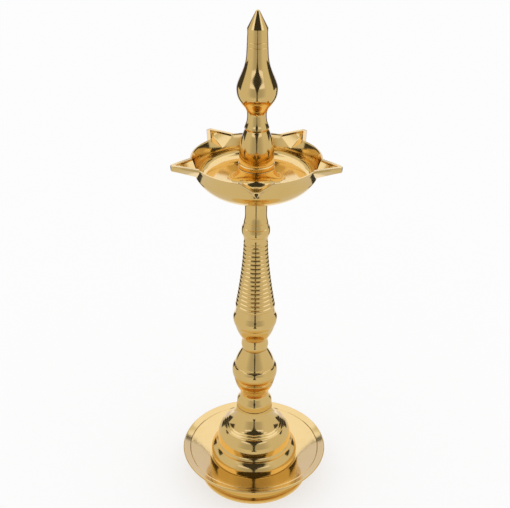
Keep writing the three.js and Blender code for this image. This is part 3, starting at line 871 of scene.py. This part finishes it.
def floor_material():
    """A white floor that keeps the lamp's shadow, and that the metal shows as the camera sees it."""
    material, nodes, links = new_material("Studio floor")
    nodes.clear()
    output = nodes.new("ShaderNodeOutputMaterial")
    path = nodes.new("ShaderNodeLightPath")
    seen = nodes.new("ShaderNodeMath")
    seen.operation = "MAXIMUM"
    also = nodes.new("ShaderNodeMath")
    also.operation = "MAXIMUM"
    links.new(path.outputs["Is Camera Ray"], seen.inputs[0])
    links.new(path.outputs["Is Glossy Ray"], seen.inputs[1])
    links.new(seen.outputs[0], also.inputs[0])
    links.new(path.outputs["Is Transmission Ray"], also.inputs[1])
    matt = nodes.new("ShaderNodeBsdfDiffuse")
    matt.inputs["Color"].default_value = (FLOOR_WHITE, FLOOR_WHITE, FLOOR_WHITE, 1)
    glow = nodes.new("ShaderNodeEmission")
    glow.inputs["Strength"].default_value = 1.0
    share = nodes.new("ShaderNodeMath")
    share.operation = "MULTIPLY"
    share.inputs[1].default_value = FLOOR_GLOW
    links.new(also.outputs[0], share.inputs[0])
    blend = nodes.new("ShaderNodeMixShader")
    links.new(share.outputs[0], blend.inputs["Fac"])
    links.new(matt.outputs[0], blend.inputs[1])
    links.new(glow.outputs[0], blend.inputs[2])
    links.new(blend.outputs[0], output.inputs["Surface"])
    return material


def white_world():
    """The white background, which also lights the lamp."""
    world = bpy.data.worlds.new("White studio")
    world.use_nodes = True
    light = world.node_tree.nodes["Background"]
    light.inputs["Color"].default_value = (1, 1, 1, 1)
    light.inputs["Strength"].default_value = 1.0
    return world


def glow_material(name, colour):
    """An even glow."""
    material, nodes, links = new_material(name)
    nodes.clear()
    output = nodes.new("ShaderNodeOutputMaterial")
    glow = nodes.new("ShaderNodeEmission")
    glow.inputs["Color"].default_value = (*colour, 1)
    links.new(glow.outputs[0], output.inputs["Surface"])
    return material


def cloth_material(studio):
    """The tent's cloth, which dims towards its open front."""
    material = glow_material("Tent cloth", (1, 1, 1))
    nodes, links = material.node_tree.nodes, material.node_tree.links
    place = nodes.new("ShaderNodeTexCoord")
    split = nodes.new("ShaderNodeSeparateXYZ")
    dim = nodes.new("ShaderNodeMapRange")
    dim.interpolation_type = "SMOOTHSTEP"
    dim.inputs["From Min"].default_value = -TENT_RADIUS
    dim.inputs["From Max"].default_value = -0.55 * TENT_RADIUS
    dim.inputs["To Min"].default_value = studio.front
    dim.inputs["To Max"].default_value = studio.tent
    links.new(place.outputs["Object"], split.inputs[0])
    links.new(split.outputs["Y"], dim.inputs["Value"])
    links.new(dim.outputs["Result"], nodes["Emission"].inputs["Strength"])
    return material


def card(name, vertices, faces, material):
    """A part of the tent, which only the metal sees. Its corners are in metres."""
    mesh = bpy.data.meshes.new(name)
    mesh.from_pydata(vertices, [], faces)
    mesh.materials.append(material)
    piece = linked(name, mesh)
    piece.visible_camera = False
    piece.visible_diffuse = False
    piece.visible_shadow = False


def band(start, end, inner, outer, steps=32):
    """A ribbon round the lamp between two azimuths, with (radius, height) edges. 0 faces the camera."""
    vertices, faces = [], []
    for side in (-1, 1):
        first = len(vertices)
        for i in range(steps + 1):
            angle = math.radians(mix(start, end, i / steps))
            for radius, height in (inner, outer):
                vertices.append((side * radius * math.sin(angle), -radius * math.cos(angle), height))
        for i in range(first, first + 2 * steps, 2):
            faces.append((i, i + 1, i + 3, i + 2))
    return vertices, faces


def flap(rows, steps=32):
    """A sheet across (half azimuth, radius, height) rows, which faces the lamp from the camera's side."""
    vertices, faces = [], []
    for half, radius, height in rows:
        for i in range(steps + 1):
            angle = math.radians(mix(-half, half, i / steps))
            vertices.append((radius * math.sin(angle), -radius * math.cos(angle), height))
    count = steps + 1
    for row in range(len(rows) - 1):
        for i in range(row * count, row * count + steps):
            faces.append((i, i + 1, i + count + 1, i + count))
    return vertices, faces


def tent(studio):
    """The white tent round the lamp, with its opening towards the camera, as the metal shows it."""
    cloth = cloth_material(studio)
    dark = glow_material("Tent opening", [studio.opening] * 3)
    gap = glow_material("Tent gap", [studio.gap] * 3)
    pale = glow_material("Front light", studio.front_light)
    light = glow_material("Ceiling light", studio.ceiling_light)
    back = glow_material("Tent back", studio.back)
    painted_bounce = glow_material("Painted floor bounce", studio.painted_floor_bounce)
    wall, top, floor = TENT_RADIUS, TENT_HEIGHT, 0.001
    corner, seam = 150, 0.66
    card("tent_wall", *band(0, corner, (wall, 0), (wall, top)), cloth)
    card("tent_floor", *band(0, corner, (0.07, floor), (wall, floor)), cloth)
    card("tent_ceiling", *band(0, 80, (0, top), (wall, top)), cloth)
    card("ceiling_light", *band(80, 180, (0, top), (wall, top)), light)
    card("back_light", *band(corner, 180, (wall, seam), (wall, top)), light)
    card("tent_back", *band(corner, 180, (wall, 0), (wall, seam)), back)
    # What hangs just inside the wall, or lies just above the floor
    wall, floor = TENT_RADIUS - 0.01, 0.002
    card("side_light", *band(50, corner, (wall, 0.9), (wall, top)), light)
    card("front_light", *band(13, 45, (wall, 0.64), (wall, 0.79)), pale)
    card("high_gap", *band(98, 148, (wall, 0.3), (wall, 0.62)), gap)
    card("low_gap", *band(128, 148, (wall, 0), (wall, 0.3)), gap)
    card("floor_gap", *band(128, 148, (0.4, floor), (wall, floor)), gap)
    card("seam", *band(146, 180, (wall, seam - 0.01), (wall, seam + 0.005)), gap)
    card("seam_end", *band(148, 156, (wall, 0.62), (wall, 0.7)), dark)
    # Painted bounce light: a warm glow on the floor round the foot, seen only in the metal
    card("painted_floor_bounce", *band(0, 180, (0.05, floor), (0.13, floor)), painted_bounce)
    # The opening: a slit in the wall, which widens above the camera and into the ceiling, and before it a
    # painted dark strip on the floor, which darkens the floor that the metal shows
    wall, top = TENT_RADIUS - 0.02, TENT_HEIGHT - 0.01
    # A painted dark strip on the floor in front of the lamp, which only the metal shows
    opening_and_strip = [(8, 0.25, floor), (3, wall, floor)]
    opening_and_strip += [(half, wall, height) for half, height in (
        (3, 0.2), (4, 0.4), (8, 0.6), (12, 0.69), (20, 0.76), (32, 0.81),
        (34, 0.93), (46, 1.02), (54, 1.12), (55, top))]
    card("tent_opening_and_painted_floor_strip", *flap(opening_and_strip + [(45, 0.3, top)]), dark)


def camera_piece(studio):
    """The camera, from where the photograph was taken."""
    view = bpy.data.cameras.new("Camera")
    view.lens = studio.lens
    view.sensor_width = 36
    view.clip_start = 0.01
    camera = linked("Camera", view)
    camera.location = (CAMERA_SIDE, -studio.camera_distance, studio.camera_height)
    camera.rotation_mode = "XYZ"
    camera.rotation_euler = (math.pi / 2 - studio.camera_pitch, 0, 0)
    camera.rotation_euler.rotate_axis("Z", studio.camera_roll)
    return camera


def floor_piece():
    """The floor under the lamp."""
    corners = [(x * FLOOR_HALF, y * FLOOR_HALF, 0) for x, y in ((-1, -1), (1, -1), (1, 1), (-1, 1))]
    mesh = bpy.data.meshes.new("floor")
    mesh.from_pydata(corners, [], [(0, 1, 2, 3)])
    mesh.materials.append(floor_material())
    return linked("floor", mesh)


class LAMP_OT_studio(bpy.types.Operator):
    """Add the camera, the floor and the light"""

    bl_idname = "lamp.studio"
    bl_label = "Studio"

    def execute(self, context):
        scene = context.scene
        studio = scene.kuthu_vilakku.studio
        scene.camera = camera_piece(studio)
        floor_piece()
        tent(studio)
        scene.world = white_world()
        scene.view_settings.view_transform = "Standard"
        return {"FINISHED"}


class LAMP_PT_panel(bpy.types.Panel):
    """Lists the lamp's pieces and settings"""

    bl_label = "Kuthu Vilakku"
    bl_idname = "LAMP_PT_panel"
    bl_space_type = "VIEW_3D"
    bl_region_type = "UI"
    bl_category = "Lamp"

    def draw(self, context):
        layout = self.layout
        for operator in OPERATORS:
            layout.operator(operator.bl_idname)
        settings = context.scene.kuthu_vilakku
        for group in (settings.finish, settings.shape, settings.studio):
            box = layout.box()
            for name in group.__annotations__:
                box.prop(group, name)


OPERATORS = (
    LAMP_OT_studio,
    LAMP_OT_foot_saucer,
    LAMP_OT_base_fastener,
    LAMP_OT_pedestal_bell,
    LAMP_OT_lower_stem,
    LAMP_OT_ribbed_column,
    LAMP_OT_oil_dish,
    LAMP_OT_finial,
)
CLASSES = (LampFinish, LampShape, LampStudio, KuthuVilakku, *OPERATORS, LAMP_PT_panel)


def register():
    for cls in CLASSES:
        bpy.utils.register_class(cls)
    bpy.types.Scene.kuthu_vilakku = bpy.props.PointerProperty(type=KuthuVilakku)


def unregister():
    del bpy.types.Scene.kuthu_vilakku
    for cls in reversed(CLASSES):
        bpy.utils.unregister_class(cls)


def main():
    register()
    for operator in OPERATORS:
        group, name = operator.bl_idname.split(".")
        getattr(getattr(bpy.ops, group), name)()


if __name__ == "__main__":
    main()
